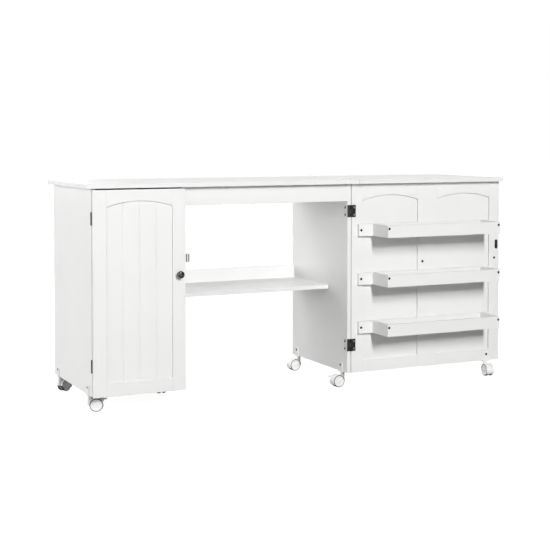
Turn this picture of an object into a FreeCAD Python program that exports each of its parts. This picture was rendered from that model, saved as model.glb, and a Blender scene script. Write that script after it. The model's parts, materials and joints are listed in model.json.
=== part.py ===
# Folding sewing and cutting table on casters: a cupboard with a framed door, an open knee space with a
# shelf, a worktop with a hinged leaf, and a swinging wing that carries three trays and holds the leaf up.
#
# Places are measured from the outer front corner of the left side panel, on the floor: X runs to the
# right, Y to the back and Z up. The model's own origin is on the floor under the middle of the table.
import FreeCAD, Part
import os
import re

SIZES = [
    ("top_height", 775, "floor to the worktop"),
    ("board", 15, "thickness of carcass boards, doors and tops"),
    ("edge_round", 1, "rounded edges of the carcass boards"),
    ("frame_round", 0.8, "rounded edges of stiles, rails and tray boards"),
    ("cabinet_width", 995, "outer width of the carcass"),
    ("cabinet_depth", 450, "depth of the side panels"),
    ("floor_gap", 58, "floor to the bottom of the panels"),
    ("end_overhang", 21, "main top past the side panels"),
    ("front_overhang", 24.5, "tops past the front edges of the panels"),
    ("back_overhang", 10, "tops past the back edges of the panels"),
    ("seam", 1.5, "gap between the main top and the leaf"),
    ("door_width", 329, "cupboard door"),
    ("reveal", 3, "gap between the door and the closed wing"),
    ("door_drop", 5, "gap above the door and the apron"),
    ("wing_drop", 2, "gap above the wing"),
    ("back_sheet", 3, "cupboard back"),
    ("floor_lift", 8, "cupboard floor above the bottom of the panels"),
    ("lower_shelf_height", 290, "underside of the lower cupboard shelf"),
    ("upper_shelf_height", 532, "underside of the upper cupboard shelf"),
    ("shelf_setback", 20, "cupboard shelves behind the front edges"),
    ("shelf_play", 0.5, "cupboard shelf to each panel"),
    ("pin_radius", 2.5, "shelf pin"),
    ("pin_reach", 8, "shelf pin under the shelf"),
    ("pin_depth", 8, "shelf pin in the panel"),
    ("pin_setback", 45, "shelf pin behind the shelf's edges"),
    ("apron_height", 59, "front apron over the knee space"),
    ("rear_rail_height", 60, "rear rail under the top"),
    ("knee_shelf_height", 371, "upper face of the knee shelf"),
    ("knee_shelf_setback", 150, "knee shelf behind the front edges"),
    ("knee_rail_height", 49, "back rail above the knee shelf"),
    ("hinge_leaf", 1.2, "thickness of the door hinges' leaves"),
    ("hinge_length", 45, "door hinge"),
    ("low_hinge_inset", 104, "middle of a lower door hinge from the door's bottom"),
    ("high_hinge_inset", 96, "middle of an upper door hinge from the door's top"),
    ("hinge_reach", 17, "hinge leaf on the door or the wing"),
    ("wrap_reach", 24, "hinge leaf along the inner face of a panel"),
    ("hinge_pin", 1.5, "radius of a door hinge's pin"),
    ("knuckle_radius", 3.2, "radius of a door hinge's knuckle"),
    ("hinge_forward", 2.8, "door hinge axis in front of the panels"),
    ("hinge_aside", 1, "door hinge axis outside the panels"),
    ("moving_gap", 0.4, "clearance round what turns"),
    ("running_play", 0.05, "radial clearance of a pin that turns"),
    ("stile", 46, "outer stiles of the door and the wing"),
    ("middle_stile", 86, "middle stile of the wing"),
    ("bottom_rail", 46, "height of the bottom rails"),
    ("crown_rail", 38, "height of the top rails at the crown of the arch"),
    ("arch_rise", 20, "rise of the arches"),
    ("panel_sheet", 6, "thickness of the framed panels"),
    ("panel_recess", 4.5, "framed panels behind the outer face"),
    ("seat_depth", 6, "depth of the groove that holds a panel"),
    ("seat_play", 0.2, "panel to its groove"),
    ("border_width", 1.6, "shadow groove round the field of a panel"),
    ("border_depth", 2.4, "shadow groove round the field of a panel"),
    ("groove_width", 4, "grooves between the boards of a panel"),
    ("panel_boards", 4, "boards marked on a panel"),
    ("knob_height", 460, "knobs above the floor"),
    ("knob_inset", 22, "knobs from the edge of a door"),
    ("rose_radius", 9, "foot of a knob"),
    ("rose_top_radius", 6, "foot of a knob where the neck starts"),
    ("rose_height", 3, "foot of a knob"),
    ("neck_radius", 4.5, "neck of a knob"),
    ("neck_length", 12, "neck of a knob, with its foot"),
    ("knob_radius", 13, "head of a knob"),
    ("knob_head", 13, "thickness of a knob's head"),
    ("knob_round", 6, "rounded edges of a knob's head"),
    ("knob_screw_length", 24, "knob screw under its head"),
    ("catch_height", 513, "middle of the magnetic catches"),
    ("catch_width", 15, "catch housing, across"),
    ("catch_depth", 14, "catch housing, front to back"),
    ("catch_tall", 30, "catch housing"),
    ("pole_sheet", 1.6, "steel pole of a catch"),
    ("pole_spacing", 8, "between the poles of a catch"),
    ("pole_tall", 26, "steel pole of a catch"),
    ("pole_inset", 12, "steel pole inside its housing"),
    ("strike_width", 12, "strike plate"),
    ("strike_tall", 36, "strike plate"),
    ("strike_sheet", 1.2, "strike plate"),
    ("catch_gap", 0.3, "closed strike plate to the poles"),
    ("tray_base", 203, "underside of the lowest tray"),
    ("tray_pitch", 181, "from one tray to the next"),
    ("tray_board", 12, "thickness of tray boards"),
    ("tray_height", 45, "height of tray boards"),
    ("tray_inset", 83.5, "tray from the wing's edges"),
    ("tray_depth", 122, "wing to the front of a tray"),
    ("tray_sheet", 6, "bottom of a tray"),
    ("cleat_inset", 25, "board that fixes a tray, from the wing's edges"),
    ("cleat_screw_inset", 10, "screw from the end of a cleat"),
    ("front_screw_height", 33, "screws of a tray's front above its underside"),
    ("screw_radius", 1.7, "shank of a screw"),
    ("screw_length", 11, "screw under its head"),
    ("head_radius", 4, "head of a screw"),
    ("head_top_radius", 3, "crown of a screw's head"),
    ("head_height", 1.2, "head of a screw"),
    ("hinge_screw_inset", 9, "hinge screw from the hinge's end"),
    ("leaf_plate", 1.6, "thickness of a leaf hinge's plates"),
    ("leaf_plate_width", 28, "leaf hinge plate across the seam"),
    ("leaf_plate_length", 66, "leaf hinge along the seam"),
    ("leaf_hinge_inset", 100, "middle of a leaf hinge from the top's edges"),
    ("leaf_knuckle", 2.5, "radius of a leaf hinge's knuckle"),
    ("leaf_pin", 1.2, "radius of a leaf hinge's pin"),
    ("leaf_axis_rise", 0.3, "leaf hinge axis above the worktop"),
    ("leaf_screw_length", 9, "leaf hinge screw"),
    ("wheel_radius", 22.5, "caster wheel"),
    ("wheel_width", 11, "caster wheel"),
    ("wheel_round", 2.5, "rounded edges of a wheel"),
    ("dish_radius", 15, "dish in the outer face of a wheel"),
    ("dish_depth", 2, "dish in the outer face of a wheel"),
    ("wheel_play", 0.5, "wheel to the web of its hood"),
    ("web", 7, "web of a hood, between the wheels"),
    ("hub_radius", 9, "web round the axle"),
    ("axle_radius", 3, "caster axle"),
    ("fender_gap", 0.9, "wheel to its fender"),
    ("fender_wall", 1.6, "fender of a hood"),
    ("fender_start", -28, "fender above the level on the trailing side, degrees"),
    ("fender_sweep", 208, "fender round the wheel, degrees"),
    ("trail", 21, "wheel behind its swivel"),
    ("stem_radius", 4, "swivel stem"),
    ("stem_depth", 22, "swivel stem inside its hood"),
    ("boss_radius", 8, "boss round the stem"),
    ("swivel_play", 0.3, "hood to its bracket"),
    ("foot_sheet", 3, "caster bracket under the panel"),
    ("bracket_sheet", 2, "caster bracket on the panel's face"),
    ("bracket_width", 33, "caster bracket along the panel"),
    ("bracket_height", 36, "caster bracket, foot to top"),
    ("bracket_screw_height", 27, "bracket screw above the bracket's foot"),
    ("front_setback", 50, "front casters behind the front edges"),
    ("rear_setback", 38, "rear casters in front of the back edges"),
    ("middle_setback", 206, "middle caster behind the front edges"),
    ("wing_caster_inset", 58, "wing caster from the wing's free edge"),
    ("pedal_reach", 23.5, "brake pedal's pivot behind the axle"),
    ("pedal_lift", 17, "brake pedal's pivot above the axle"),
    ("pedal_pin", 1.5, "radius of the brake pedal's pin"),
    ("pedal_barrel", 3.2, "radius of the brake pedal's barrel"),
    ("pedal_width", 14, "brake pedal"),
    ("pedal_length", 14, "brake pedal from its pivot"),
    ("pedal_sheet", 2.4, "brake pedal's plate"),
    ("pedal_slope", -5, "brake pedal below the level, degrees"),
    ("ear_wall", 2.2, "ears that carry the brake pedal"),
    ("ear_radius", 4, "ears round the brake pedal's pin"),
]

# Places worked out from the sizes, as text that is spelled out wherever it is used.
PLACES = {
    "top_under": "top_height - board",
    "table_end": "wing_x + wing_width",
    "leaf_length": "table_end - seam_x - seam / 2",
    "origin_x": "(table_end - end_overhang) / 2",
    "origin_y": "(cabinet_depth + back_overhang - tray_depth - head_height) / 2",
    "panel_height": "top_under - floor_gap",
    "tops_depth": "front_overhang + cabinet_depth + back_overhang",
    "divider_x": "door_width + reveal / 2 - board / 2",
    "knee_x": "divider_x + board",
    "right_x": "cabinet_width - board",
    "knee_width": "right_x - knee_x",
    "cupboard_width": "divider_x - board",
    "door_top": "top_under - door_drop",
    "door_height": "door_top - floor_gap",
    "wing_top": "top_under - wing_drop",
    "door_back": "-2 * hinge_forward",
    "door_front": "door_back - board",
    "arch_crown": "door_top - crown_rail",
    "shoulder": "arch_crown - 2 * arch_rise",
    "rail_top": "floor_gap + bottom_rail",
    "wing_x": "cabinet_width + 2 * hinge_aside",
    "wing_width": "cabinet_width - door_width - reveal",
    "door_bay": "door_width - 2 * stile",
    "wing_bay": "(wing_width - 2 * stile - middle_stile) / 2",
    "first_bay_x": "wing_x + stile",
    "middle_stile_x": "first_bay_x + wing_bay",
    "second_bay_x": "middle_stile_x + middle_stile",
    "free_stile_x": "second_bay_x + wing_bay",
    "low_hinge_z": "floor_gap + low_hinge_inset - hinge_length / 2",
    "high_hinge_z": "door_top - high_hinge_inset - hinge_length / 2",
    "knuckle": "(hinge_length - 2 * moving_gap) / 3",
    "knuckle_room": "knuckle_radius + moving_gap",
    "door_catch_x": "divider_x - catch_width / 2",
    "wing_catch_x": "knee_x + catch_width / 2",
    "pole_front": "door_back + strike_sheet + catch_gap",
    "tray_x": "wing_x + tray_inset",
    "tray_width": "wing_width - 2 * tray_inset",
    "cleat_x": "wing_x + cleat_inset",
    "cleat_length": "wing_width - 2 * cleat_inset",
    "tray_reach": "tray_depth - 2 * tray_board",
    "seam_x": "cabinet_width + end_overhang + seam / 2",
    "leaf_axis_z": "top_height + leaf_axis_rise",
    "leaf_knuckle_length": "(leaf_plate_length - 2 * moving_gap) / 3",
    "leaf_knuckle_room": "leaf_knuckle + moving_gap",
    "fender_radius": "wheel_radius + fender_gap + fender_wall",
    "caster_half": "web / 2 + wheel_play + wheel_width",
    "bracket_z": "floor_gap - foot_sheet",
    "hood_top": "bracket_z - swivel_play",
    "wing_caster_x": "wing_x + wing_width - wing_caster_inset",
    "rear_caster_y": "cabinet_depth - rear_setback",
    "ear_half": "pedal_width / 2 + moving_gap + ear_wall",
}

RIGHT = FreeCAD.Vector(1, 0, 0)
BACK = FreeCAD.Vector(0, 1, 0)
UP = FreeCAD.Vector(0, 0, 1)
WORD = re.compile(r"[a-z]\w*")

doc = FreeCAD.newDocument("SewingTable")
sheet = doc.addObject("Spreadsheet::Sheet", "Sizes")
for row, (alias, size, note) in enumerate(SIZES, start=1):
    sheet.set(f"A{row}", note)
    sheet.set(f"B{row}", str(size))
    sheet.setAlias(f"B{row}", alias)
doc.recompute()
ALIASES = {alias for alias, size, note in SIZES}

blanks = {}
cuts = {}
screws = {}


def spelled(text):
    def one(match):
        word = match.group(0)
        if word in PLACES:
            return "(" + spelled(PLACES[word]) + ")"
        return "Sizes." + word if word in ALIASES else word

    return WORD.sub(one, text)


def value(text):
    return float(sheet.evalExpression(spelled(text)))


def bind(obj, prop, text):
    obj.setExpression(prop, spelled(text))


def locate(obj, spot, turn=None):
    if turn is not None:
        obj.Placement = FreeCAD.Placement(FreeCAD.Vector(), turn)
    for axis, text in zip("xyz", spot):
        bind(obj, "Placement.Base." + axis, text)
    return obj


def place(obj, spot, turn=None):
    x, y, z = spot
    return locate(obj, (f"{x} - origin_x", f"{y} - origin_y", z), turn)


def facing(direction):
    return FreeCAD.Rotation(UP, direction)


def box(name, spot, size, put=place, turn=None):
    obj = doc.addObject("Part::Box", name)
    for side, text in zip(("Length", "Width", "Height"), size):
        bind(obj, side, text)
    return put(obj, spot, turn)


def rod(name, spot, direction, radius, length, put=place):
    obj = doc.addObject("Part::Cylinder", name)
    bind(obj, "Radius", radius)
    bind(obj, "Height", length)
    return put(obj, spot, facing(direction))


def cone(name, spot, direction, radius, end_radius, length, put=place):
    obj = doc.addObject("Part::Cone", name)
    bind(obj, "Radius1", radius)
    bind(obj, "Radius2", end_radius)
    bind(obj, "Height", length)
    return put(obj, spot, facing(direction))


def fused(name, shapes):
    obj = doc.addObject("Part::MultiFuse", name)
    obj.Shapes = shapes
    return obj


def grouped(name, shapes):
    obj = doc.addObject("Part::Compound", name)
    obj.Links = shapes
    return obj


def pared(name, base, tools):
    obj = doc.addObject("Part::Cut", name)
    obj.Base = base
    obj.Tool = tools[0] if len(tools) == 1 else grouped(name + "_tools", tools)
    return obj


def node(name, obj):
    blanks[name] = obj
    return obj


def cut_from(names, tool):
    for name in names:
        cuts.setdefault(name, []).append(tool)


def rounded(name, kind, sizes, rounding):
    # A body of one primitive with all its edges rounded.
    body = doc.addObject("PartDesign::Body", name + "_body")
    block = body.newObject("PartDesign::" + kind, name + "_block")
    for prop, text in sizes:
        bind(block, prop, text)
    doc.recompute()
    edges = body.newObject("PartDesign::Fillet", name + "_edges")
    edges.Base = (block, ["Edge1"])
    edges.UseAllEdges = True
    bind(edges, "Radius", rounding)
    return body


def rounded_disc(name, radius, height, rounding):
    return rounded(name, "AdditiveCylinder", [("Radius", radius), ("Height", height)], rounding)


def board(name, spot, size, rounding="edge_round"):
    sides = zip(("Length", "Width", "Height"), size)
    return place(rounded(name, "AdditiveBox", sides, rounding), spot)


def screw(group, spot, direction, drilled, length="screw_length", flush=False):
    # The spot is on the surface under the head, and the direction points into the wood.
    number = len(screws.setdefault(group, [])) + 1
    name = f"{group}_{number}"
    shank = rod(name + "_shank", spot, direction, "screw_radius", length)
    if flush:
        head = cone(name + "_head", spot, direction, "head_radius", "screw_radius", "head_height")
    else:
        head = cone(name + "_head", spot, -direction, "head_radius", "head_top_radius", "head_height")
    whole = fused(name, [shank, head])
    screws[group].append(whole)
    cut_from(drilled, whole if flush else shank)


def make_carcass():
    node("left_side_panel", board("left_side_panel", ("0", "0", "floor_gap"),
                                  ("board", "cabinet_depth", "panel_height")))
    node("divider_panel", board("divider_panel", ("divider_x", "0", "floor_gap"),
                                ("board", "cabinet_depth", "panel_height")))
    node("right_side_panel", board("right_side_panel", ("right_x", "0", "floor_gap"),
                                   ("board", "cabinet_depth", "panel_height")))
    node("cupboard_floor", board("cupboard_floor", ("board", "0", "floor_gap + floor_lift"),
                                 ("cupboard_width", "cabinet_depth", "board")))
    node("cupboard_back", box("cupboard_back", ("0", "cabinet_depth", "floor_gap"),
                              ("knee_x", "back_sheet", "panel_height")))
    node("front_apron", board("front_apron", ("knee_x", "0", "door_top - apron_height"),
                              ("knee_width", "board", "apron_height")))
    rail_y = "cabinet_depth - board"
    node("rear_top_rail", board("rear_top_rail", ("knee_x", rail_y, "top_under - rear_rail_height"),
                                ("knee_width", "board", "rear_rail_height")))
    node("knee_shelf", board("knee_shelf", ("knee_x", "knee_shelf_setback", "knee_shelf_height - board"),
                             ("knee_width", "cabinet_depth - knee_shelf_setback - board", "board")))
    node("knee_shelf_rail", board("knee_shelf_rail", ("knee_x", rail_y, "knee_shelf_height - board"),
                                  ("knee_width", "board", "knee_rail_height + board")))
    node("main_top", board("main_top", ("-end_overhang", "-front_overhang", "top_under"),
                           ("cabinet_width + 2 * end_overhang", "tops_depth", "board")))
    node("fold_leaf", board("fold_leaf", ("seam_x + seam / 2", "-front_overhang", "top_under"),
                            ("leaf_length", "tops_depth", "board")))


def make_cupboard_shelves():
    shelves = []
    pins = []
    for name, height in (("lower", "lower_shelf_height"), ("upper", "upper_shelf_height")):
        shelves.append(board(name + "_shelf", ("board + shelf_play", "shelf_setback", height),
                             ("cupboard_width - 2 * shelf_play", "cabinet_depth - shelf_setback", "board")))
        for y in ("shelf_setback + pin_setback", "cabinet_depth - pin_setback"):
            for panel, start in (("left_side_panel", "board - pin_depth"),
                                 ("divider_panel", "divider_x - pin_reach")):
                pin = rod(f"shelf_pin_{len(pins) + 1}", (start, y, height + " - pin_radius"), RIGHT,
                          "pin_radius", "pin_reach + pin_depth")
                pins.append(pin)
                cut_from([panel], pin)
    node("cupboard_shelves", grouped("cupboard_shelves_group", shelves))
    node("shelf_pins", grouped("shelf_pins_group", pins))


def arch_radius(width):
    return f"((({width}) / 2) ^ 2 + arch_rise ^ 2) / (2 * arch_rise)"


def arch(name, x, width, y, depth, margin):
    # A cylinder along Y whose upper side is the arch over a bay, grown by a margin.
    radius = arch_radius(width)
    middle = (f"{x} + {width} / 2", y, f"arch_crown - {radius}")
    return rod(name, middle, BACK, f"{radius} + {margin}", depth)


def arched_sheet(name, x, width, y, sheet_depth, margin, foot="seat_depth"):
    # A sheet that fills a bay up to its arch. It reaches past the bay by a margin, and below it by a foot.
    whole = f"{width} + 2 * {margin}"
    low = box(name + "_low", (f"{x} - {margin}", y, f"rail_top - {foot}"),
              (whole, sheet_depth, f"shoulder - rail_top + {foot}"))
    high = box(name + "_high", (f"{x} - {margin}", y, "shoulder"),
               (whole, sheet_depth, f"arch_crown - shoulder + {margin}"))
    crown = doc.addObject("Part::Common", name + "_crown")
    crown.Base = high
    crown.Tool = arch(name + "_arch", x, width, y, sheet_depth, margin)
    return fused(name, [low, crown])


def upright_groove(name, x, y):
    # A square rod on its edge, half sunk in the face at y.
    side = "groove_width / sqrt(2)"
    return box(name, (x, f"{y} - groove_width / 2", "floor_gap"), (side, side, "panel_height"),
               turn=FreeCAD.Rotation(UP, 45))


def framed_bay(name, x, width, sheet_y, outer_y, stiles, bottom_rail, top_rail):
    # One framed panel: its top rail's arch, the groove in the frame round it, and the boards marked on it.
    cut_from([top_rail], arch(name + "_opening", x, width, f"{sheet_y} - board", "3 * board", "0"))
    seat = arched_sheet(name + "_seat", x, width, f"{sheet_y} - seat_play",
                        "panel_sheet + 2 * seat_play", "seat_depth")
    cut_from(stiles + [bottom_rail, top_rail], seat)
    play = "(seat_depth - seat_play)"
    blank = arched_sheet(name + "_sheet", x, width, sheet_y, "panel_sheet", play, play)
    grooves = []
    for face, groove_y in (("front", sheet_y), ("back", f"{sheet_y} + panel_sheet - border_depth")):
        whole = arched_sheet(f"{name}_{face}_border", x, width, groove_y, "border_depth", "0", "0")
        field = arched_sheet(f"{name}_{face}_field", x, width, groove_y, "border_depth", "(-border_width)")
        grooves.append(pared(f"{name}_{face}_border_groove", whole, [field]))
    for line in range(1, int(value("panel_boards"))):
        line_x = f"{x} + {width} * {line} / panel_boards"
        grooves.append(upright_groove(f"{name}_groove_{line}", line_x, outer_y))
    return pared(name + "_boards", blank, grooves)


def rails(name, x, width, y, top):
    lower = board(name + "_bottom_rail", (x, y, "floor_gap"), (width, "board", "bottom_rail"), "frame_round")
    upper = board(name + "_top_rail", (x, y, "shoulder"),
                  (width, "board", f"{top} - shoulder"), "frame_round")
    return lower, upper


def make_door():
    node("door_hinge_stile", board("door_hinge_stile", ("0", "door_front", "floor_gap"),
                                   ("stile", "board", "door_height"), "frame_round"))
    node("door_free_stile", board("door_free_stile", ("door_width - stile", "door_front", "floor_gap"),
                                  ("stile", "board", "door_height"), "frame_round"))
    lower, upper = rails("door", "stile", "door_bay", "door_front", "door_top")
    node("door_bottom_rail", lower)
    node("door_top_rail", upper)
    stiles = ["door_hinge_stile", "door_free_stile"]
    sheet_y = "door_front + panel_recess"
    node("door_panel", framed_bay("door", "stile", "door_bay", sheet_y, sheet_y, stiles,
                                  "door_bottom_rail", "door_top_rail"))
    node("door_knob", knob("door_knob", "door_width - knob_inset", "door_front", -BACK))
    screw("door_screws", ("door_width - knob_inset", "door_back", "knob_height"), -BACK,
          ["door_free_stile", "door_knob"], "knob_screw_length")
    node("door_strike_plate", strike("door_strike_plate", "door_catch_x", "door_back"))


def make_wing():
    for name, x, width in (("wing_hinge_stile", "wing_x", "stile"),
                           ("wing_middle_stile", "middle_stile_x", "middle_stile"),
                           ("wing_free_stile", "free_stile_x", "stile")):
        size = (width, "board", "wing_top - floor_gap")
        node(name, board(name, (x, "0", "floor_gap"), size, "frame_round"))
    cut_from(["wing_middle_stile"], upright_groove("wing_middle_groove", "wing_x + wing_width / 2", "board"))
    sheet_y = "board - panel_recess - panel_sheet"
    outer_y = "board - panel_recess"
    sheets = []
    tops = []
    bottoms = []
    for name, x, stiles in (("wing_inner", "first_bay_x", ["wing_hinge_stile", "wing_middle_stile"]),
                            ("wing_outer", "second_bay_x", ["wing_middle_stile", "wing_free_stile"])):
        lower, upper = rails(name, x, "wing_bay", "0", "wing_top")
        sheets.append(framed_bay(name, x, "wing_bay", sheet_y, outer_y, stiles,
                                 "wing_bottom_rails", "wing_top_rails"))
        tops.append(upper)
        bottoms.append(lower)
    node("wing_panels", grouped("wing_panels_group", sheets))
    node("wing_top_rails", grouped("wing_top_rails_group", tops))
    node("wing_bottom_rails", grouped("wing_bottom_rails_group", bottoms))
    knobs = []
    for stile_name, edge in (("wing_middle_stile", "wing_width / 2"), ("wing_free_stile", "wing_width")):
        x = f"wing_x + {edge} - knob_inset"
        knobs.append(knob(stile_name + "_knob", x, "board", BACK))
        screw("wing_screws", (x, "0", "knob_height"), BACK, [stile_name, "wing_knobs"], "knob_screw_length")
    node("wing_knobs", grouped("wing_knobs_group", knobs))
    strike_x = "2 * (cabinet_width + hinge_aside) - wing_catch_x"
    node("wing_strike_plate", strike("wing_strike_plate", strike_x, "-strike_sheet"))


def knob(name, x, y, direction):
    # The parts of a knob stand on the door's face at (x, y), one past the other along the direction.
    sign = "+" if direction.y > 0 else "-"
    foot = (x, y, "knob_height")
    rose = cone(name + "_rose", foot, direction, "rose_radius", "rose_top_radius", "rose_height")
    neck = rod(name + "_neck", foot, direction, "neck_radius", "neck_length")
    head = rounded_disc(name + "_head", "knob_radius", "knob_head", "knob_round")
    place(head, (x, f"{y} {sign} (neck_length - rose_height)", "knob_height"), facing(direction))
    return fused(name + "_turned", [rose, neck, head])


def strike(name, x, y):
    # A plate with round ends.
    end = "(strike_tall - strike_width) / 2"
    middle = box(name + "_middle", (f"{x} - strike_width / 2", y, f"catch_height - {end}"),
                 ("strike_width", "strike_sheet", "strike_tall - strike_width"))
    upper = rod(name + "_upper", (x, y, f"catch_height + {end}"), BACK, "strike_width / 2", "strike_sheet")
    lower = rod(name + "_lower", (x, y, f"catch_height - {end}"), BACK, "strike_width / 2", "strike_sheet")
    return fused(name + "_plate", [middle, upper, lower])


def make_catches():
    housings = []
    poles = []
    for name, x in (("door_catch", "door_catch_x"), ("wing_catch", "wing_catch_x")):
        corner = (f"{x} - catch_width / 2", "0", "catch_height - catch_tall / 2")
        housings.append(board(name + "_housing", corner, ("catch_width", "catch_depth", "catch_tall"),
                              "frame_round"))
        for side in ("-", "+"):
            pole_x = f"{x} {side} pole_spacing / 2 - pole_sheet / 2"
            pole_corner = (pole_x, "pole_front", "catch_height - pole_tall / 2")
            pole = box(f"{name}_pole_{len(poles) + 1}", pole_corner,
                       ("pole_sheet", "pole_inset - pole_front", "pole_tall"))
            poles.append(pole)
            cut_from(["catch_housings"], pole)
    node("catch_housings", grouped("catch_housings_group", housings))
    node("catch_poles", grouped("catch_poles_group", poles))


def knuckles(name, axis_x, tab_x, tab_y, start_z, which):
    # Knuckles of one leaf on the axis, each with the tab that joins it to the leaf.
    shapes = []
    for step in which:
        z = f"{start_z} + {step} * (knuckle + moving_gap)"
        eye = (axis_x, "-hinge_forward", z)
        shapes.append(rod(f"{name}_knuckle_{step}", eye, UP, "knuckle_radius", "knuckle"))
        shapes.append(box(f"{name}_tab_{step}", (tab_x, tab_y, z),
                          ("knuckle_room", "hinge_leaf", "knuckle")))
    return shapes


def make_door_hinges():
    # The frame leaf wraps round a panel's front edge, and the moving leaf lies on the inner face of the
    # door or the wing. The frame leaf carries the outer knuckles, the moving leaf the middle one.
    outer = (0, 2)
    middle = (1,)
    frame_leaves = []
    pins = []
    moving = {"door": [], "wing": []}
    for level, start_z in (("low", "low_hinge_z"), ("high", "high_hinge_z")):
        screw_levels = [f"{start_z} + hinge_screw_inset", f"{start_z} + hinge_length - hinge_screw_inset"]
        full = ("hinge_leaf", "hinge_length")

        # Wing hinge, at the right side panel.
        name = f"wing_{level}_hinge"
        axis_x = "cabinet_width + hinge_aside"
        edge = "cabinet_width + hinge_aside - knuckle_room"
        shapes = [
            box(name + "_edge", ("right_x - hinge_leaf", "-hinge_leaf", start_z),
                (f"{edge} - (right_x - hinge_leaf)",) + full),
            box(name + "_wrap", ("right_x - hinge_leaf", "-hinge_leaf", start_z),
                ("hinge_leaf", "wrap_reach + hinge_leaf", "hinge_length")),
        ]
        shapes += knuckles(name + "_frame", axis_x, edge, "-hinge_leaf", start_z, outer)
        frame_leaves.append(fused(name + "_frame_leaf", shapes))
        plate_x = "cabinet_width + hinge_aside + knuckle_room"
        shapes = [box(name + "_plate", (plate_x, "-hinge_leaf", start_z),
                      (f"wing_x + hinge_reach - ({plate_x})",) + full)]
        shapes += knuckles(name + "_wing", axis_x, axis_x, "-hinge_leaf", start_z, middle)
        moving["wing"].append(fused(name + "_wing_leaf", shapes))
        hinge_fits(name, axis_x, start_z, pins, "wing_hinge_leaves",
                   ["right_side_panel", "wing_hinge_stile"])
        for z in screw_levels:
            screw("cabinet_screws", ("right_x - hinge_leaf", "wrap_reach * 2 / 3", z), RIGHT,
                  ["frame_hinge_leaves", "right_side_panel"])
            screw("wing_screws", ("wing_x + hinge_reach * 2 / 3", "-hinge_leaf", z), BACK,
                  ["wing_hinge_leaves", "wing_hinge_stile"], flush=True)

        # Door hinge, at the left side panel, with the door closed.
        name = f"door_{level}_hinge"
        axis_x = "-hinge_aside"
        edge = "knuckle_room - hinge_aside"
        shapes = [
            box(name + "_edge", (edge, "-hinge_leaf", start_z), (f"board + hinge_leaf - ({edge})",) + full),
            box(name + "_wrap", ("board", "-hinge_leaf", start_z),
                ("hinge_leaf", "wrap_reach + hinge_leaf", "hinge_length")),
        ]
        shapes += knuckles(name + "_frame", axis_x, axis_x, "-hinge_leaf", start_z, outer)
        frame_leaves.append(fused(name + "_frame_leaf", shapes))
        shapes = [box(name + "_plate", (edge, "door_back", start_z), (f"hinge_reach - ({edge})",) + full)]
        shapes += knuckles(name + "_door", axis_x, axis_x, "door_back", start_z, middle)
        moving["door"].append(fused(name + "_door_leaf", shapes))
        hinge_fits(name, axis_x, start_z, pins, "door_hinge_leaves", ["left_side_panel", "door_hinge_stile"])
        for z in screw_levels:
            screw("cabinet_screws", ("board + hinge_leaf", "wrap_reach * 2 / 3", z), -RIGHT,
                  ["frame_hinge_leaves", "left_side_panel"])
            screw("door_screws", ("hinge_reach * 2 / 3", "door_back + hinge_leaf", z), -BACK,
                  ["door_hinge_leaves", "door_hinge_stile"], flush=True)
    node("frame_hinge_leaves", grouped("frame_hinge_leaves_group", frame_leaves))
    node("door_hinge_leaves", grouped("door_hinge_leaves_group", moving["door"]))
    node("wing_hinge_leaves", grouped("wing_hinge_leaves_group", moving["wing"]))
    return pins


def hinge_fits(name, axis_x, start_z, pins, moving_node, wood):
    # The pin is tight in the frame leaf and turns in the moving leaf. The wood is hollowed round both.
    foot = (axis_x, "-hinge_forward", start_z)
    pin = rod(name + "_pin", foot, UP, "hinge_pin", "hinge_length")
    bore = rod(name + "_bore", foot, UP, "hinge_pin + running_play", "hinge_length")
    room = rod(name + "_room", (axis_x, "-hinge_forward", f"{start_z} - moving_gap"), UP, "knuckle_room",
               "hinge_length + 2 * moving_gap")
    pins.append(pin)
    cut_from(["frame_hinge_leaves"], pin)
    cut_from([moving_node], bore)
    cut_from(wood, room)


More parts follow.
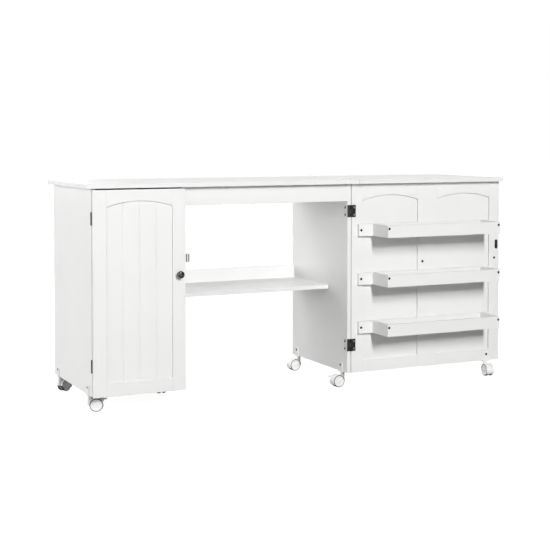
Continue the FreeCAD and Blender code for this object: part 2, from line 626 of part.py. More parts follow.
def make_leaf_hinges(pins):
    # Flap hinges let into the worktop on both sides of the seam, so that the leaf folds up and over.
    top_plates = []
    leaf_plates = []
    for end, middle_y in (("front", "leaf_hinge_inset - front_overhang"),
                          ("back", "cabinet_depth + back_overhang - leaf_hinge_inset")):
        name = f"{end}_leaf_hinge"
        start_y = f"{middle_y} - leaf_plate_length / 2"
        plate_z = "top_height - leaf_plate"
        plate_size = ("leaf_plate_width", "leaf_plate_length", "leaf_plate")
        left_x = "seam_x - leaf_knuckle_room"
        right_x = "seam_x + leaf_knuckle_room"
        left = box(name + "_left", (f"{left_x} - leaf_plate_width", start_y, plate_z), plate_size)
        right = box(name + "_right", (right_x, start_y, plate_z), plate_size)
        shapes = {"main": [left], "leaf": [right]}
        pocket_size = ("leaf_plate_width + leaf_knuckle_room", "leaf_plate_length", "leaf_plate")
        cut_from(["main_top"], box(name + "_left_pocket", (f"{left_x} - leaf_plate_width", start_y, plate_z),
                                   pocket_size))
        cut_from(["fold_leaf"], box(name + "_right_pocket", ("seam_x", start_y, plate_z), pocket_size))
        for step, side, tab_x in ((0, "main", left_x), (1, "leaf", "seam_x"), (2, "main", left_x)):
            y = f"{start_y} + {step} * (leaf_knuckle_length + moving_gap)"
            shapes[side].append(rod(f"{name}_knuckle_{step}", ("seam_x", y, "leaf_axis_z"), BACK,
                                    "leaf_knuckle", "leaf_knuckle_length"))
            shapes[side].append(box(f"{name}_tab_{step}", (tab_x, y, plate_z),
                                    ("leaf_knuckle_room", "leaf_knuckle_length", "leaf_plate")))
        foot = ("seam_x", start_y, "leaf_axis_z")
        room_foot = ("seam_x", f"{start_y} - moving_gap", "leaf_axis_z")
        pin = rod(name + "_pin", foot, BACK, "leaf_pin", "leaf_plate_length")
        bore = rod(name + "_bore", foot, BACK, "leaf_pin + running_play", "leaf_plate_length")
        room = rod(name + "_room", room_foot, BACK, "leaf_knuckle_room",
                   "leaf_plate_length + 2 * moving_gap")
        pins.append(pin)
        cut_from(["leaf_hinge_top_plates"], pin)
        cut_from(["leaf_hinge_leaf_plates"], bore)
        cut_from(["main_top", "fold_leaf"], room)
        top_plates.append(fused(name + "_top_plate", shapes["main"]))
        leaf_plates.append(fused(name + "_leaf_plate", shapes["leaf"]))
        for y in (f"{start_y} + hinge_screw_inset", f"{start_y} + leaf_plate_length - hinge_screw_inset"):
            screw("cabinet_screws", (f"{left_x} - leaf_plate_width / 2", y, "top_height"), -UP,
                  ["main_top", "leaf_hinge_top_plates"], "leaf_screw_length", flush=True)
            screw("leaf_screws", (f"{right_x} + leaf_plate_width / 2", y, "top_height"), -UP,
                  ["fold_leaf", "leaf_hinge_leaf_plates"], "leaf_screw_length", flush=True)
    node("leaf_hinge_top_plates", grouped("leaf_hinge_top_plates_group", top_plates))
    node("leaf_hinge_leaf_plates", grouped("leaf_hinge_leaf_plates_group", leaf_plates))
    node("hinge_pins", grouped("hinge_pins_group", pins))


def make_trays():
    cleats = []
    fronts = []
    ends = []
    bottoms = []
    for level in range(3):
        z = f"tray_base + {level} * tray_pitch"
        name = f"tray_{level + 1}"
        cleats.append(board(name + "_cleat", ("cleat_x", "-tray_board", z),
                            ("cleat_length", "tray_board", "tray_height"), "frame_round"))
        fronts.append(board(name + "_front", ("tray_x", "-tray_depth", z),
                            ("tray_width", "tray_board", "tray_height"), "frame_round"))
        for side, x in (("left", "tray_x"), ("right", "tray_x + tray_width - tray_board")):
            ends.append(board(f"{name}_{side}_end", (x, "tray_board - tray_depth", z),
                              ("tray_board", "tray_reach", "tray_height"), "frame_round"))
            screw("wing_screws", (f"{x} + tray_board / 2", "-tray_depth", f"{z} + front_screw_height"), BACK,
                  ["tray_fronts", "tray_ends"], "screw_length + tray_board")
        bottoms.append(box(name + "_bottom", ("tray_x + tray_board", "tray_board - tray_depth", z),
                           ("tray_width - 2 * tray_board", "tray_reach", "tray_sheet")))
        for x, stile_name in (("cleat_x + cleat_screw_inset", "wing_hinge_stile"),
                              ("cleat_x + cleat_length - cleat_screw_inset", "wing_free_stile")):
            screw("wing_screws", (x, "-tray_board", f"{z} + tray_height / 2"), BACK,
                  ["tray_cleats", stile_name], "screw_length + tray_board")
    for name, shapes in (("tray_cleats", cleats), ("tray_fronts", fronts), ("tray_ends", ends),
                         ("tray_bottoms", bottoms)):
        node(name, grouped(name + "_group", shapes))


def bracket(name, x, y, angle):
    # An angle under a panel's bottom edge with one leg on the panel's face, and the stem's hole.
    foot = box(name + "_foot", ("-bracket_width / 2", "-board / 2 - bracket_sheet", "0"),
               ("bracket_width", "board + bracket_sheet", "foot_sheet"), locate)
    leg = box(name + "_leg", ("-bracket_width / 2", "-board / 2 - bracket_sheet", "0"),
              ("bracket_width", "bracket_sheet", "bracket_height"), locate)
    hole = rod(name + "_hole", ("0", "0", "0"), UP, "stem_radius + running_play", "foot_sheet", locate)
    return place(pared(name, fused(name + "_angle", [foot, leg]), [hole]), (x, y, "bracket_z"),
                 FreeCAD.Rotation(UP, angle))


def caster_wheels(name):
    wheels = []
    for side, start in (("near", "-caster_half"), ("far", "web / 2 + wheel_play")):
        body = rounded_disc(f"{name}_{side}_tread", "wheel_radius", "wheel_width", "wheel_round")
        locate(body, ("trail", start, "wheel_radius"), facing(BACK))
        bore = rod(f"{name}_{side}_bore", ("trail", start, "wheel_radius"), BACK,
                   "axle_radius + running_play", "wheel_width", locate)
        dish_start = "-caster_half" if side == "near" else "caster_half - dish_depth"
        dish = rod(f"{name}_{side}_dish", ("trail", dish_start, "wheel_radius"), BACK,
                   "dish_radius", "dish_depth", locate)
        wheels.append(pared(f"{name}_{side}_wheel", body, [fused(f"{name}_{side}_hollow", [bore, dish])]))
    return grouped(name + "_wheels_pair", wheels)


def caster_hood(name, braked):
    # A fender over both wheels, a web between them, a boss for the stem and, if braked, ears for the pedal.
    fender = doc.addObject("Part::Cylinder", name + "_fender")
    bind(fender, "Radius", "fender_radius")
    bind(fender, "Height", "2 * caster_half")
    bind(fender, "Angle", "fender_sweep")
    turn = FreeCAD.Rotation(RIGHT, 90).multiply(FreeCAD.Rotation(UP, value("fender_start")))
    locate(fender, ("trail", "caster_half", "wheel_radius"), turn)
    boss = rod(name + "_boss", ("0", "0", "wheel_radius"), UP,
               "boss_radius", "hood_top - wheel_radius", locate)
    hub = rod(name + "_hub", ("trail", "-web / 2", "wheel_radius"), BACK, "hub_radius", "web", locate)
    axle_half = "(caster_half - dish_depth / 2)"
    axle = rod(name + "_axle", ("trail", f"-{axle_half}", "wheel_radius"), BACK,
               "axle_radius", f"2 * {axle_half}", locate)
    stem = rod(name + "_stem", ("0", "0", "hood_top - stem_depth"), UP, "stem_radius",
               "floor_gap - swivel_play - (hood_top - stem_depth)", locate)
    rooms = []
    for side, start in (("near", "-caster_half - fender_wall"), ("far", "web / 2")):
        rooms.append(rod(f"{name}_{side}_room", ("trail", start, "wheel_radius"), BACK,
                         "wheel_radius + fender_gap", "caster_half + fender_wall - web / 2", locate))
    shapes = [fender, boss]
    loose = [stem, axle]
    if braked:
        pivot_x = "trail + pedal_reach"
        pivot_z = "wheel_radius + pedal_lift"
        loose.append(rod(name + "_pedal_pin", (pivot_x, "-ear_half", pivot_z), BACK,
                         "pedal_pin", "2 * ear_half", locate))
        for side, y in (("near", "-ear_half"), ("far", "ear_half - ear_wall")):
            shapes.append(rod(f"{name}_{side}_ear_eye", (pivot_x, y, pivot_z), BACK,
                              "ear_radius", "ear_wall", locate))
            shapes.append(box(f"{name}_{side}_ear", ("trail + hub_radius", y, f"{pivot_z} - ear_radius"),
                              ("pedal_reach - hub_radius", "ear_wall", "2 * ear_radius"), locate))
    shell = pared(name + "_shell", fused(name + "_solid", shapes), rooms)
    hood = pared(name + "_hood", fused(name + "_webbed", [shell, hub]), loose)
    return grouped(name + "_hood_set", [hood] + loose)


def brake_pedal(name):
    pivot_x = "trail + pedal_reach"
    pivot_z = "wheel_radius + pedal_lift"
    near = (pivot_x, "-pedal_width / 2", pivot_z)
    barrel = rod(name + "_barrel", near, BACK, "pedal_barrel", "pedal_width", locate)
    plate = box(name + "_plate", near, ("pedal_length", "pedal_width", "pedal_sheet"), locate,
                FreeCAD.Rotation(BACK, value("pedal_slope")))
    bore = rod(name + "_bore", near, BACK, "pedal_pin + running_play", "pedal_width", locate)
    return pared(name + "_lever", fused(name + "_solid", [barrel, plate]), [bore])


# Casters: name, swivel X, swivel Y, how the wheel is turned, bracket's turn, drilled board, braked.
CASTERS = [
    ("front_left", "board / 2", "front_setback", -15, -90, "left_side_panel", True),
    ("rear_left", "board / 2", "rear_caster_y", 28, -90, "left_side_panel", False),
    ("middle", "divider_x + board / 2", "middle_setback", 88, 90, "divider_panel", False),
    ("front_right", "right_x + board / 2", "front_setback", 181, -90, "right_side_panel", True),
    ("rear_right", "right_x + board / 2", "rear_caster_y", 183, -90, "right_side_panel", False),
    ("wing", "wing_caster_x", "board / 2", 264, 0, "wing_bottom_rails", False),
]


def make_casters():
    brackets = []
    for name, x, y, turn, bracket_turn, drilled, braked in CASTERS:
        wheel_turn = FreeCAD.Rotation(UP, turn)
        angle = bracket(name + "_caster_bracket", x, y, bracket_turn)
        outward = FreeCAD.Rotation(UP, bracket_turn).multVec(-BACK)
        face_x = f"{x} + ({outward.x:.0f}) * (board / 2 + bracket_sheet)"
        face_y = f"{y} + ({outward.y:.0f}) * (board / 2 + bracket_sheet)"
        spot = (face_x, face_y, "bracket_z + bracket_screw_height")
        if name == "wing":
            node("wing_caster_bracket", angle)
            screw("wing_screws", spot, -outward, ["wing_caster_bracket", drilled])
        else:
            brackets.append(angle)
            screw("cabinet_screws", spot, -outward, ["caster_brackets", drilled])
        node(name + "_caster_hood", place(caster_hood(name + "_caster", braked), (x, y, "0"), wheel_turn))
        node(name + "_caster_wheels", place(caster_wheels(name + "_caster"), (x, y, "0"), wheel_turn))
        if braked:
            node(name + "_brake_pedal", place(brake_pedal(name + "_brake"), (x, y, "0"), wheel_turn))
    node("caster_brackets", grouped("caster_brackets_group", brackets))


make_carcass()
make_cupboard_shelves()
make_door()
make_wing()
make_catches()
make_leaf_hinges(make_door_hinges())
make_trays()
make_casters()
for group, members in screws.items():
    node(group, grouped(group + "_group", members))

nodes = {}
for name, blank in blanks.items():
    nodes[name] = pared(name, blank, cuts[name]) if name in cuts else blank
    nodes[name].Label = name
doc.recompute()

faults = [obj.Label for obj in doc.Objects if "Invalid" in obj.State or "Error" in obj.State]
faults += [name for name, obj in nodes.items() if obj.Shape.isNull() or not obj.Shape.isValid()]
if faults:
    raise RuntimeError("faulty: " + ", ".join(faults))

os.makedirs("parts", exist_ok=True)
for name, obj in nodes.items():
    obj.Shape.exportStep(f"parts/{name}.step")
    print(f"{name}: {len(obj.Shape.Solids)} solids, {obj.Shape.Volume / 1000:.1f} cubic centimetres")
print(len(nodes), "nodes")
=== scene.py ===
import json
import math
import bpy
from mathutils import Matrix, Vector


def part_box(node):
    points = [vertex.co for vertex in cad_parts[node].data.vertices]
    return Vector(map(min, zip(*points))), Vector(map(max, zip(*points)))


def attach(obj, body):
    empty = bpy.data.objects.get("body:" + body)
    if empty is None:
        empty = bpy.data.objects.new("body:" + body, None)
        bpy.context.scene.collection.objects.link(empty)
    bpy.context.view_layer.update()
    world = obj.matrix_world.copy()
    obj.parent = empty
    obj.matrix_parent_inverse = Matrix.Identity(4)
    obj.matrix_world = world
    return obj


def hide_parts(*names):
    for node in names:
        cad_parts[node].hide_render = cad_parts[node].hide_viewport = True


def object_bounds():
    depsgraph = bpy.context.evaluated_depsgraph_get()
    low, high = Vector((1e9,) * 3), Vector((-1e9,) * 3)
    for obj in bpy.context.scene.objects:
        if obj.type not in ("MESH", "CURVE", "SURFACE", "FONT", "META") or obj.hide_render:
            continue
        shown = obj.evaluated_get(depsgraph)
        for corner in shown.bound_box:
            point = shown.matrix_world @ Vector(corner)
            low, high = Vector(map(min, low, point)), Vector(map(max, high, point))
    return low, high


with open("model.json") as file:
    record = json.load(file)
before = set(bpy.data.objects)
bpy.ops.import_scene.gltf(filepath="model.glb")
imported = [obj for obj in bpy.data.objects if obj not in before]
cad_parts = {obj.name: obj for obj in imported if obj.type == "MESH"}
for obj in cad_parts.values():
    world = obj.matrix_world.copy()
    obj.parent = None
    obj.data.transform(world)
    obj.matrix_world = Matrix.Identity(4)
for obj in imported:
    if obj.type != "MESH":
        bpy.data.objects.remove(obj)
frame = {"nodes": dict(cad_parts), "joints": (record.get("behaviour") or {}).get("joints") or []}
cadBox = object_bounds()  # the CAD box, before anything is added
nodes = frame["nodes"]
joints = {joint["name"]: joint for joint in frame["joints"]}
mm = 0.001
print("frame loaded with", len(nodes), "nodes")


def toLinear(hexColour):
    channels = [int(hexColour[i:i + 2], 16) / 255 for i in (1, 3, 5)]
    return tuple(c / 12.92 if c <= 0.04045 else ((c + 0.055) / 1.055) ** 2.4 for c in channels) + (1.0,)


def addNode(tree, kind, settings=None, sockets=None, links=None):
    node = tree.nodes.new(kind)
    for name, value in (settings or {}).items():
        setattr(node, name, value)
    for name, value in (sockets or {}).items():
        node.inputs[name].default_value = value
    for name, (source, output) in (links or {}).items():
        tree.links.new(source.outputs[output], node.inputs[name])
    return node


def newMaterial(name, sockets):
    material = bpy.data.materials.new(name)
    material.use_nodes = True
    shader = material.node_tree.nodes["Principled BSDF"]
    for socket, value in sockets.items():
        shader.inputs[socket].default_value = value
    return material, material.node_tree, shader


def noise(tree, sizeMm, detail):  # a pattern with features of that size, fixed to the piece
    place = addNode(tree, "ShaderNodeTexCoord")
    return addNode(tree, "ShaderNodeTexNoise", sockets={"Scale": 1 / (sizeMm * mm), "Detail": detail},
                   links={"Vector": (place, "Object")})


def twoTone(tree, shader, pattern, dark, light):  # two close tones of one colour
    ramp = addNode(tree, "ShaderNodeValToRGB", links={"Fac": (pattern, "Fac")})
    ramp.color_ramp.elements[0].color = toLinear(dark)
    ramp.color_ramp.elements[1].color = toLinear(light)
    tree.links.new(ramp.outputs["Color"], shader.inputs["Base Color"])


def spread(tree, shader, pattern, low, high):  # roughness that drifts between two values
    drift = addNode(tree, "ShaderNodeMapRange", sockets={"To Min": low, "To Max": high},
                    links={"Value": (pattern, "Fac")})
    tree.links.new(drift.outputs["Result"], shader.inputs["Roughness"])


def relief(tree, shader, pattern, depthMm, strength):
    bump = addNode(tree, "ShaderNodeBump", sockets={"Strength": strength, "Distance": depthMm * mm},
                   links={"Height": (pattern, "Fac")})
    tree.links.new(bump.outputs["Normal"], shader.inputs["Normal"])


# Sizes and depths of the patterns are in mm.
foil = {"dark": "#e5e5e4", "light": "#eaeae9", "toneSize": 160, "toneDetail": 3.0,
        "sheenSize": 22, "sheenDetail": 2.0, "smoothest": 0.4, "roughest": 0.5,
        "peelSize": 2.4, "peelDetail": 1.0, "peelDepth": 0.05, "peelStrength": 0.25}
moulding = {"toneSize": 18, "detail": 2.0, "grainDepth": 0.03, "grainStrength": 0.3}
plating = {"detail": 4.0, "markDepth": 0.02, "markStrength": 0.3}


def makeWhiteFoil():
    # PVC foil pressed over fibreboard: even white, satin, with the faint orange peel of the press.
    # The real peel is under half a millimetre across and is drawn coarser so that it shows.
    material, tree, shader = newMaterial("whiteFoilOnFibreboard", {"IOR": 1.5, "Specular IOR Level": 0.42})
    tone = noise(tree, foil["toneSize"], foil["toneDetail"])
    twoTone(tree, shader, tone, foil["dark"], foil["light"])
    sheen = noise(tree, foil["sheenSize"], foil["sheenDetail"])
    spread(tree, shader, sheen, foil["smoothest"], foil["roughest"])
    peel = noise(tree, foil["peelSize"], foil["peelDetail"])
    relief(tree, shader, peel, foil["peelDepth"], foil["peelStrength"])
    return material


def makeMoulded(name, dark, light, roughness, grainSize):
    # Moulded plastic: nearly even colour with a fine spark-eroded grain.
    material, tree, shader = newMaterial(name, {"IOR": 1.5, "Roughness": roughness})
    twoTone(tree, shader, noise(tree, moulding["toneSize"], moulding["detail"]), dark, light)
    grain = noise(tree, grainSize, moulding["detail"])
    relief(tree, shader, grain, moulding["grainDepth"], moulding["grainStrength"])
    return material


def makeMetal(name, dark, light, metallic, smoothest, roughest, markSize):
    # Plated or coated metal: tone and gloss drift over fine tumbling marks.
    material, tree, shader = newMaterial(name, {"Metallic": metallic})
    marks = noise(tree, markSize, plating["detail"])
    twoTone(tree, shader, marks, dark, light)
    spread(tree, shader, marks, smoothest, roughest)
    relief(tree, shader, marks, plating["markDepth"], plating["markStrength"])
    return material


whiteFoil = makeWhiteFoil()
whiteNylon = makeMoulded("whiteNylon", "#e9e9e8", "#f1f1f0", roughness=0.38, grainSize=0.8)
# The tyre's dark grey is partly the rubber's own colour and partly painted shade. It darkens the ring round
# each disc and the tread under the hood, where those parts shade each other.
greyTreadAndPaintedShade = makeMoulded("greyTyreRubberAndPaintedShade", "#4b4b4c", "#565657", roughness=0.7, grainSize=0.9)
blackCoat = makeMetal("blackCoatedSteel", "#141414", "#202020",
                      metallic=0.0, smoothest=0.35, roughest=0.5, markSize=3.0)
zincSteel = makeMetal("zincPlatedSteel", "#a9a9a8", "#c4c4c2",
                      metallic=1.0, smoothest=0.25, roughest=0.4, markSize=2.5)
darkZinc = makeMetal("darkZincScrew", "#1f1e1d", "#2f2e2c",
                     metallic=1.0, smoothest=0.35, roughest=0.5, markSize=1.5)
pewter = makeMetal("antiquePewter", "#5c5a57", "#7d7a75",
                   metallic=1.0, smoothest=0.16, roughest=0.3, markSize=4.0)
satinNickel = makeMetal("satinNickelSteel", "#d2d2d0", "#dcdcda",
                        metallic=0.1, smoothest=0.5, roughest=0.62, markSize=2.5)
whiteCoat = makeMetal("whiteCoatedSteel", "#e6e6e5", "#efefee",
                      metallic=0.0, smoothest=0.35, roughest=0.45, markSize=6.0)
print("materials made")

finishes = {
    "frame_hinge_leaves": blackCoat, "door_hinge_leaves": blackCoat, "wing_hinge_leaves": blackCoat,
    "door_strike_plate": blackCoat, "wing_strike_plate": blackCoat, "hinge_pins": blackCoat,
    "leaf_hinge_top_plates": whiteCoat, "leaf_hinge_leaf_plates": whiteCoat, "shelf_pins": zincSteel,
    "catch_poles": darkZinc, "catch_housings": whiteNylon, "caster_brackets": whiteCoat,
    "wing_caster_bracket": whiteCoat, "door_knob": pewter, "wing_knobs": pewter,
}
for nodeName, node in nodes.items():
    finish = finishes.get(nodeName, whiteFoil)
    if "screws" in nodeName:
        finish = darkZinc
    elif "caster_hood" in nodeName or "caster_wheels" in nodeName or "brake_pedal" in nodeName:
        finish = whiteNylon
    node.data.materials.clear()
    node.data.materials.append(finish)
print("nodes finished")

closeness = {"weld": 0.004, "spinWeld": 0.001, "ring": 0.02}  # mm between points to merge, or of one ring
creaseAngle = 35  # degrees from which an edge stays sharp


def only(obj):  # the one selected and active object
    bpy.ops.object.select_all(action="DESELECT")
    obj.select_set(True)
    bpy.context.view_layer.objects.active = obj


def newObject(name, mesh):
    obj = bpy.data.objects.new(name, mesh)
    bpy.context.scene.collection.objects.link(obj)
    return obj


def cleaned(obj):  # doubles merged, then normals turned outwards
    only(obj)
    bpy.ops.object.mode_set(mode="EDIT")
    bpy.ops.mesh.select_all(action="SELECT")
    bpy.ops.mesh.remove_doubles(threshold=closeness["weld"] * mm)
    bpy.ops.mesh.normals_make_consistent(inside=False)
    bpy.ops.object.mode_set(mode="OBJECT")
    return obj


def applied(obj, kind, settings):
    only(obj)
    modifier = obj.modifiers.new(kind.title(), kind)
    for name, value in settings.items():
        setattr(modifier, name, value)
    bpy.ops.object.modifier_apply(modifier=modifier.name)
    return obj


def softened(obj, edgeMm, segments, sharpAngle):
    return applied(obj, "BEVEL", {"width": edgeMm * mm, "segments": segments, "limit_method": "ANGLE",
                                  "angle_limit": math.radians(sharpAngle), "use_clamp_overlap": True})


def turned(name, profile, steps):
    # A shape turned on the Z axis from a profile of (radius, height) points in mm.
    mesh = bpy.data.meshes.new(name)
    points = [(radius * mm, 0, height * mm) for radius, height in profile]
    mesh.from_pydata(points, [(i, i + 1) for i in range(len(points) - 1)], [])
    obj = newObject(name, mesh)
    applied(obj, "SCREW", {"axis": "Z", "steps": steps, "render_steps": steps, "use_merge_vertices": True,
                           "merge_threshold": closeness["spinWeld"] * mm})
    return cleaned(obj)


def placedCopy(master, matrix):
    mesh = master.data.copy()
    mesh.transform(matrix)
    return newObject(master.name + "Copy", mesh)


def joined(name, objects):
    bpy.ops.object.select_all(action="DESELECT")
    for obj in objects:
        obj.select_set(True)
    bpy.context.view_layer.objects.active = objects[0]
    if len(objects) > 1:
        bpy.ops.object.join()
    objects[0].name = name
    return objects[0]


def dropped(objects):
    for obj in objects:
        bpy.data.objects.remove(obj, do_unlink=True)


def finished(obj, name, material, body, stoodFor):
    only(obj)
    bpy.ops.object.shade_smooth_by_angle(angle=math.radians(creaseAngle))
    obj.name = obj.data.name = name
    obj.data.materials.clear()
    obj.data.materials.append(material)
    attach(obj, body)
    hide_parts(stoodFor)
    return obj


def looseParts(nodeName):  # the separate solids of a CAD node, as spare objects
    cleaned(newObject("spare", nodes[nodeName].data.copy()))
    bpy.ops.object.mode_set(mode="EDIT")
    bpy.ops.mesh.select_all(action="SELECT")
    bpy.ops.mesh.separate(type="LOOSE")
    bpy.ops.object.mode_set(mode="OBJECT")
    return list(bpy.context.selected_objects)


def corners(obj):  # the low and high corners of its box
    points = [vertex.co for vertex in obj.data.vertices]
    return [Vector(pick(p[i] for p in points) for i in range(3)) for pick in (min, max)]


def standing(axis, place):  # Z laid along an axis, at a place
    return Matrix.Translation(place) @ Vector((0, 0, 1)).rotation_difference(axis).to_matrix().to_4x4()


# A CAD screw that is wider than flushFrom at its outer end gets a flush head, any other a pan head.
screws = {"sets": {"cabinet_screws": "cabinet", "wing_screws": "wing",
                   "door_screws": "door", "leaf_screws": "leaf"},
          "flushRadius": 4.0, "panRadius": 4.7, "flushFrom": 3.7, "headHeight": 1.2, "chamfer": 0.15,
          "point": 0.6, "slotLength": 4.2, "slotWidth": 0.85, "slotDepth": 0.9, "steps": 24}
# The crown of a pan head: share of its radius, and height in mm.
panCrown = [(0, 0), (0.35, -0.03), (0.6, -0.2), (0.8, -0.5), (0.93, -0.8)]
screwMasters = {}


def makeScrew(flush, shank, length):
    key = (flush, round(shank, 1), round(length, 1))
    if key in screwMasters:
        return screwMasters[key]
    h, chamfer, point = screws["headHeight"], screws["chamfer"], screws["point"]
    if flush:
        r = screws["flushRadius"]
        head = [(0, 0), (r - chamfer, 0), (r, -chamfer), (shank, -h)]
    else:
        r = screws["panRadius"]
        head = [(share * r, height) for share, height in panCrown] + [(r, -h), (shank, -h)]
    tip = [(shank, point - length), (shank - point, -length), (0, -length)]
    screw = turned("screwMaster", head + tip, screws["steps"])
    for turn in (0, 90):
        bpy.ops.mesh.primitive_cube_add(size=1)
        cutter = bpy.context.active_object
        slot = Vector((screws["slotLength"], screws["slotWidth"], 2 * screws["slotDepth"])) * mm
        cutter.data.transform(Matrix.Rotation(math.radians(turn), 4, "Z") @ Matrix.Diagonal((*slot, 1)))
        applied(screw, "BOOLEAN", {"operation": "DIFFERENCE", "solver": "EXACT", "object": cutter})
        dropped([cutter])
    screwMasters[key] = screw
    return screw


def radiusAt(obj, axis, level):
    ring = [v.co.copy() for v in obj.data.vertices if abs(v.co[axis] - level) < closeness["ring"] * mm]
    middle = sum(ring, Vector()) / len(ring)
    return max((p - middle).length for p in ring) / mm


def makeScrewSet(nodeName):
    dark, bright = [], []
    spares = looseParts(nodeName)
    for spare in spares:
        low, high = corners(spare)
        size = high - low
        axis = min(range(3), key=lambda i: abs(size[(i + 1) % 3] - size[(i + 2) % 3]))
        ends = radiusAt(spare, axis, low[axis]), radiusAt(spare, axis, high[axis])
        flush = max(ends) > screws["flushFrom"]
        sign = 1 if ends[1] > ends[0] else -1
        direction = Vector([sign if i == axis else 0 for i in range(3)])
        top = (low + high) / 2 + direction * size[axis] / 2
        copy = placedCopy(makeScrew(flush, min(ends), size[axis] / mm), standing(direction, top))
        (bright if flush and axis != 0 else dark).append(copy)  # those on the hinge leaves are bright
    dropped(spares)
    body = screws["sets"][nodeName]
    if dark:
        finished(joined(body, dark), body + "Screws", darkZinc, body, nodeName)
    if bright:
        finished(joined(body, bright), body + "HingeScrews", zincSteel, body, nodeName)


for screwNode in screws["sets"]:
    makeScrewSet(screwNode)
dropped(list(screwMasters.values()))
print("screws made")

casters = {"names": ["front_left", "rear_left", "middle", "front_right", "rear_right", "wing"],
           "innerFace": 4.0, "steps": 64, "flatAngle": 1, "hoodEdge": 0.4, "hoodSegments": 2, "hoodAngle": 50}
# The tyre's ring and the disc inside it: radius and height above the wheel's inner face.
tyreProfile = [(20.3, 0.3), (21.2, 0.3), (22.1, 1.0), (22.5, 2.2), (22.5, 8.6), (22.2, 9.7), (21.5, 10.3),
               (20.7, 10.3), (20.3, 9.9), (20.3, 0.3)]
discProfile = [(0, 10.15), (3.15, 10.15), (3.15, 0.1), (9.5, 0.1), (10.2, 0.8), (19.4, 0.8), (20.3, 0.3),
               (20.3, 9.9), (19.9, 10.6), (19.0, 11.0), (16.2, 11.0), (15.4, 10.7), (15.0, 9.9), (14.3, 9.5),
               (7.4, 9.5), (6.9, 9.8), (6.6, 10.4), (6.0, 10.8), (4.0, 10.95), (0, 11.0)]


def makeWheels():
    tyre = turned("tyreMaster", tyreProfile, casters["steps"])
    disc = turned("discMaster", discProfile, casters["steps"])
    for name in casters["names"]:
        roll = joints[name + "_roll"]
        axis, hub = Vector(roll["axis"]), Vector(roll["pos_m"])
        spots = [standing(axis * side, hub + axis * side * casters["innerFace"] * mm) for side in (-1, 1)]
        node, body = name + "_caster_wheels", name + "_wheels"
        tyres = joined("tyres", [placedCopy(tyre, spot) for spot in spots])
        # the tyres' dark grey carries painted shade as well as the rubber's colour
        finished(tyres, name + "Tyres", greyTreadAndPaintedShade, body, node)
        discs = joined("discs", [placedCopy(disc, spot) for spot in spots])
        finished(discs, name + "Discs", whiteNylon, body, node)
    dropped([tyre, disc])


makeWheels()
print("wheels made")


def makeHoods():
    # The moulded shell is softened at its edges, and the stem, axle and pedal pin are dark zinc.
    for name in casters["names"]:
        node, body = name + "_caster_hood", name + "_caster"
        parts = sorted(looseParts(node), key=lambda part: len(part.data.vertices))
        shell, pins = parts[-1], joined("pins", parts[:-1])
        only(shell)
        bpy.ops.object.mode_set(mode="EDIT")
        bpy.ops.mesh.select_all(action="SELECT")
        bpy.ops.mesh.dissolve_limited(angle_limit=math.radians(casters["flatAngle"]))
        bpy.ops.object.mode_set(mode="OBJECT")
        softened(shell, casters["hoodEdge"], casters["hoodSegments"], casters["hoodAngle"])
        finished(shell, name + "Hood", whiteNylon, body, node)
        finished(pins, name + "StemAndAxle", darkZinc, body, node)


makeHoods()
print("hoods made")

# A turned knob: radius and height above the face that it is on.
knobs = {"outward": {"door_knob": ("door", -1), "wing_knobs": ("wing", 1)}, "steps": 64,
         "profile": [(0, 0), (8.8, 0), (9, 0.5), (8.5, 1.3), (6.8, 2.5), (5.3, 3.3), (4.6, 5.0), (4.5, 7.4),
                     (5.3, 8.7), (7.0, 9.1), (10.0, 10.0), (12.1, 12.0), (13.0, 14.8), (13.0, 16.2),
                     (12.4, 18.3), (11.3, 19.8), (10.7, 20.3), (10.3, 20.1), (9.8, 20.6), (8.0, 21.3),
                     (5.0, 21.8), (2.5, 21.95), (0, 22)]}


def makeKnobs():
    master = turned("knobMaster", knobs["profile"], knobs["steps"])
    for nodeName, (body, sign) in knobs["outward"].items():
        spares = looseParts(nodeName)
        copies = []
        for spare in spares:
            low, high = corners(spare)
            foot = Vector(((low.x + high.x) / 2, low.y if sign > 0 else high.y, (low.z + high.z) / 2))
            copies.append(placedCopy(master, standing(Vector((0, sign, 0)), foot)))
        dropped(spares)
        finished(joined("knobs", copies), body + "Knobs", pewter, body, nodeName)
    dropped([master])


makeKnobs()
print("knobs made")

hinges = {"edge": 0.2, "segments": 1, "sharpAngle": 60, "wrapStart": 0.3}


def makeFrameHinges():
    # The wrapped leaves are black at the front and satin nickel along the panels' inner faces.
    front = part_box("right_side_panel")[0].y
    leaves = cleaned(newObject("leaves", nodes["frame_hinge_leaves"].data.copy()))
    softened(leaves, hinges["edge"], hinges["segments"], hinges["sharpAngle"])
    finished(leaves, "frameHingeLeaves", blackCoat, "cabinet", "frame_hinge_leaves")
    leaves.data.materials.append(satinNickel)
    for face in leaves.data.polygons:
        if face.center.y > front + hinges["wrapStart"] * mm:
            face.material_index = 1


makeFrameHinges()
print("hinges made")

# The wall behind the table is bright and fades out to the front and the ceiling. Where it fades is given as
# the Y and Z of a direction of length 1.
studio = {"floorSize": 60.0, "floorLight": "#b4b4b4", "floorSeen": "#707070", "floorGlow": 0.92,
          "wallLight": 2.08, "wallFade": 0.6, "ceilingFrom": 0.25, "ceilingTo": 0.8}
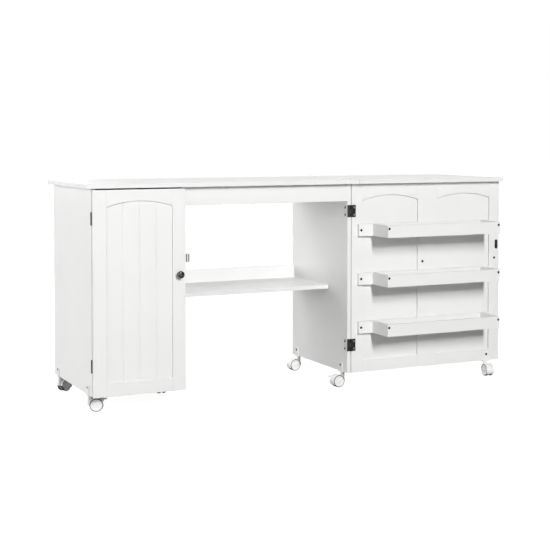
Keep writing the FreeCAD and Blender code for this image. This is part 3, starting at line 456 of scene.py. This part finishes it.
# The key is two softboxes, one above the other: the lower and smaller one is the brighter for its size.
softboxes = {
    "lowKeySoftbox": {"place": (-0.36, -8.2, 3.3), "width": 0.75, "height": 0.75, "power": 245.0},
    "highKeySoftbox": {"place": (-0.36, -8.2, 4.65), "width": 0.75, "height": 1.95, "power": 441.0},
    "sideSoftbox": {"place": (-4.2, -2.8, 2.6), "width": 2.2, "height": 1.3, "power": 22.0},
    "leftSoftbox": {"place": (-5.0, -0.9, 1.2), "width": 2.0, "height": 2.0, "power": 41.0},
    "backSoftbox": {"place": (-4.0, 1.9, 1.6), "width": 2.4, "height": 2.0, "power": 33.0},
    "kneeSoftbox": {"place": (-0.5, 3.3, 0.45), "width": 0.6, "height": 0.8, "power": 15.5},
    "shelfSoftbox": {"place": (-0.2, 3.2, 1.35), "width": 0.6, "height": 0.5, "power": 10.7},
    "footSoftbox": {"place": (-1.9, 0.2, 0.12), "width": 0.6, "height": 0.2, "power": 1.0},
}
white = (1, 1, 1, 1)


def litAndSeen(tree, lit, seen, outputNode):
    # The stage has one shader for the light that it gives and one for how it looks.
    ray = addNode(tree, "ShaderNodeLightPath")
    both = addNode(tree, "ShaderNodeMixShader", links={"Fac": (ray, "Is Camera Ray")})
    tree.links.new(lit.outputs[0], both.inputs[1])
    tree.links.new(seen.outputs[0], both.inputs[2])
    tree.links.new(both.outputs["Shader"], tree.nodes[outputNode].inputs["Surface"])


def makeFloor():
    # It looks almost white and takes a faint shadow, but it throws back less light than that.
    bpy.ops.object.select_all(action="DESELECT")
    bpy.ops.mesh.primitive_plane_add(size=studio["floorSize"], location=(0, 0, 0))
    floor = bpy.context.active_object
    floor.name = "studioFloor"
    material, tree, shader = newMaterial("paleStudioFloor", {
        "Roughness": 0.9, "Base Color": toLinear(studio["floorSeen"]),
        "Emission Color": white, "Emission Strength": studio["floorGlow"]})
    plain = addNode(tree, "ShaderNodeBsdfDiffuse", sockets={"Color": toLinear(studio["floorLight"])})
    litAndSeen(tree, plain, shader, "Material Output")
    floor.data.materials.append(material)


def makeSky():
    # A dark room with a bright white wall low behind the table.
    world = bpy.data.worlds.new("studioWorld")
    bpy.context.scene.world = world
    world.use_nodes = True
    tree = world.node_tree
    direction = addNode(tree, "ShaderNodeTexCoord")
    parts = addNode(tree, "ShaderNodeSeparateXYZ", links={"Vector": (direction, "Generated")})
    fade = {"interpolation_type": "SMOOTHSTEP"}
    wall = addNode(tree, "ShaderNodeMapRange", fade,
                   {"From Min": -studio["wallFade"], "From Max": studio["wallFade"],
                    "To Min": 0.0, "To Max": studio["wallLight"]}, {"Value": (parts, "Y")})
    ceiling = addNode(tree, "ShaderNodeMapRange", fade,
                      {"From Min": studio["ceilingFrom"], "From Max": studio["ceilingTo"],
                       "To Min": 1.0, "To Max": 0.0}, {"Value": (parts, "Z")})
    light = addNode(tree, "ShaderNodeMath", {"operation": "MULTIPLY"})
    tree.links.new(wall.outputs["Result"], light.inputs[0])
    tree.links.new(ceiling.outputs["Result"], light.inputs[1])
    room = tree.nodes["Background"]
    room.inputs["Color"].default_value = white
    tree.links.new(light.outputs["Value"], room.inputs["Strength"])
    backdrop = addNode(tree, "ShaderNodeBackground", sockets={"Color": white, "Strength": 1.0})
    litAndSeen(tree, room, backdrop, "World Output")


def makeSoftbox(name):
    box = softboxes[name]
    low, high = cadBox
    place = Vector(box["place"])
    bpy.ops.object.light_add(type="AREA", location=place)
    lamp = bpy.context.active_object
    lamp.name = name
    lamp.data.shape = "RECTANGLE"
    lamp.data.size = box["width"]
    lamp.data.size_y = box["height"]
    lamp.data.energy = box["power"]
    lamp.visible_camera = False
    lamp.rotation_mode = "QUATERNION"
    lamp.rotation_quaternion = ((low + high) / 2 - place).to_track_quat("-Z", "Y")


camera = {"place": (-2.05335, -4.1182, 0.9302), "yaw": 25.547, "pitch": 2.0, "sensor": 36, "lens": 80.33,
          "shiftX": 0.0131, "shiftY": -0.1719}


def makeCamera():
    bpy.ops.object.camera_add(location=camera["place"])
    eye = bpy.context.active_object
    eye.name = "photoCamera"
    eye.rotation_euler = (math.radians(90 - camera["pitch"]), 0, -math.radians(camera["yaw"]))
    eye.data.sensor_width = camera["sensor"]
    eye.data.lens = camera["lens"]
    eye.data.shift_x = camera["shiftX"]
    eye.data.shift_y = camera["shiftY"]
    bpy.context.scene.camera = eye
    print("camera placed")


makeFloor()
makeSky()
for lampName in softboxes:
    makeSoftbox(lampName)
bpy.context.scene.view_settings.view_transform = "Standard"
print("studio made")
makeCamera()
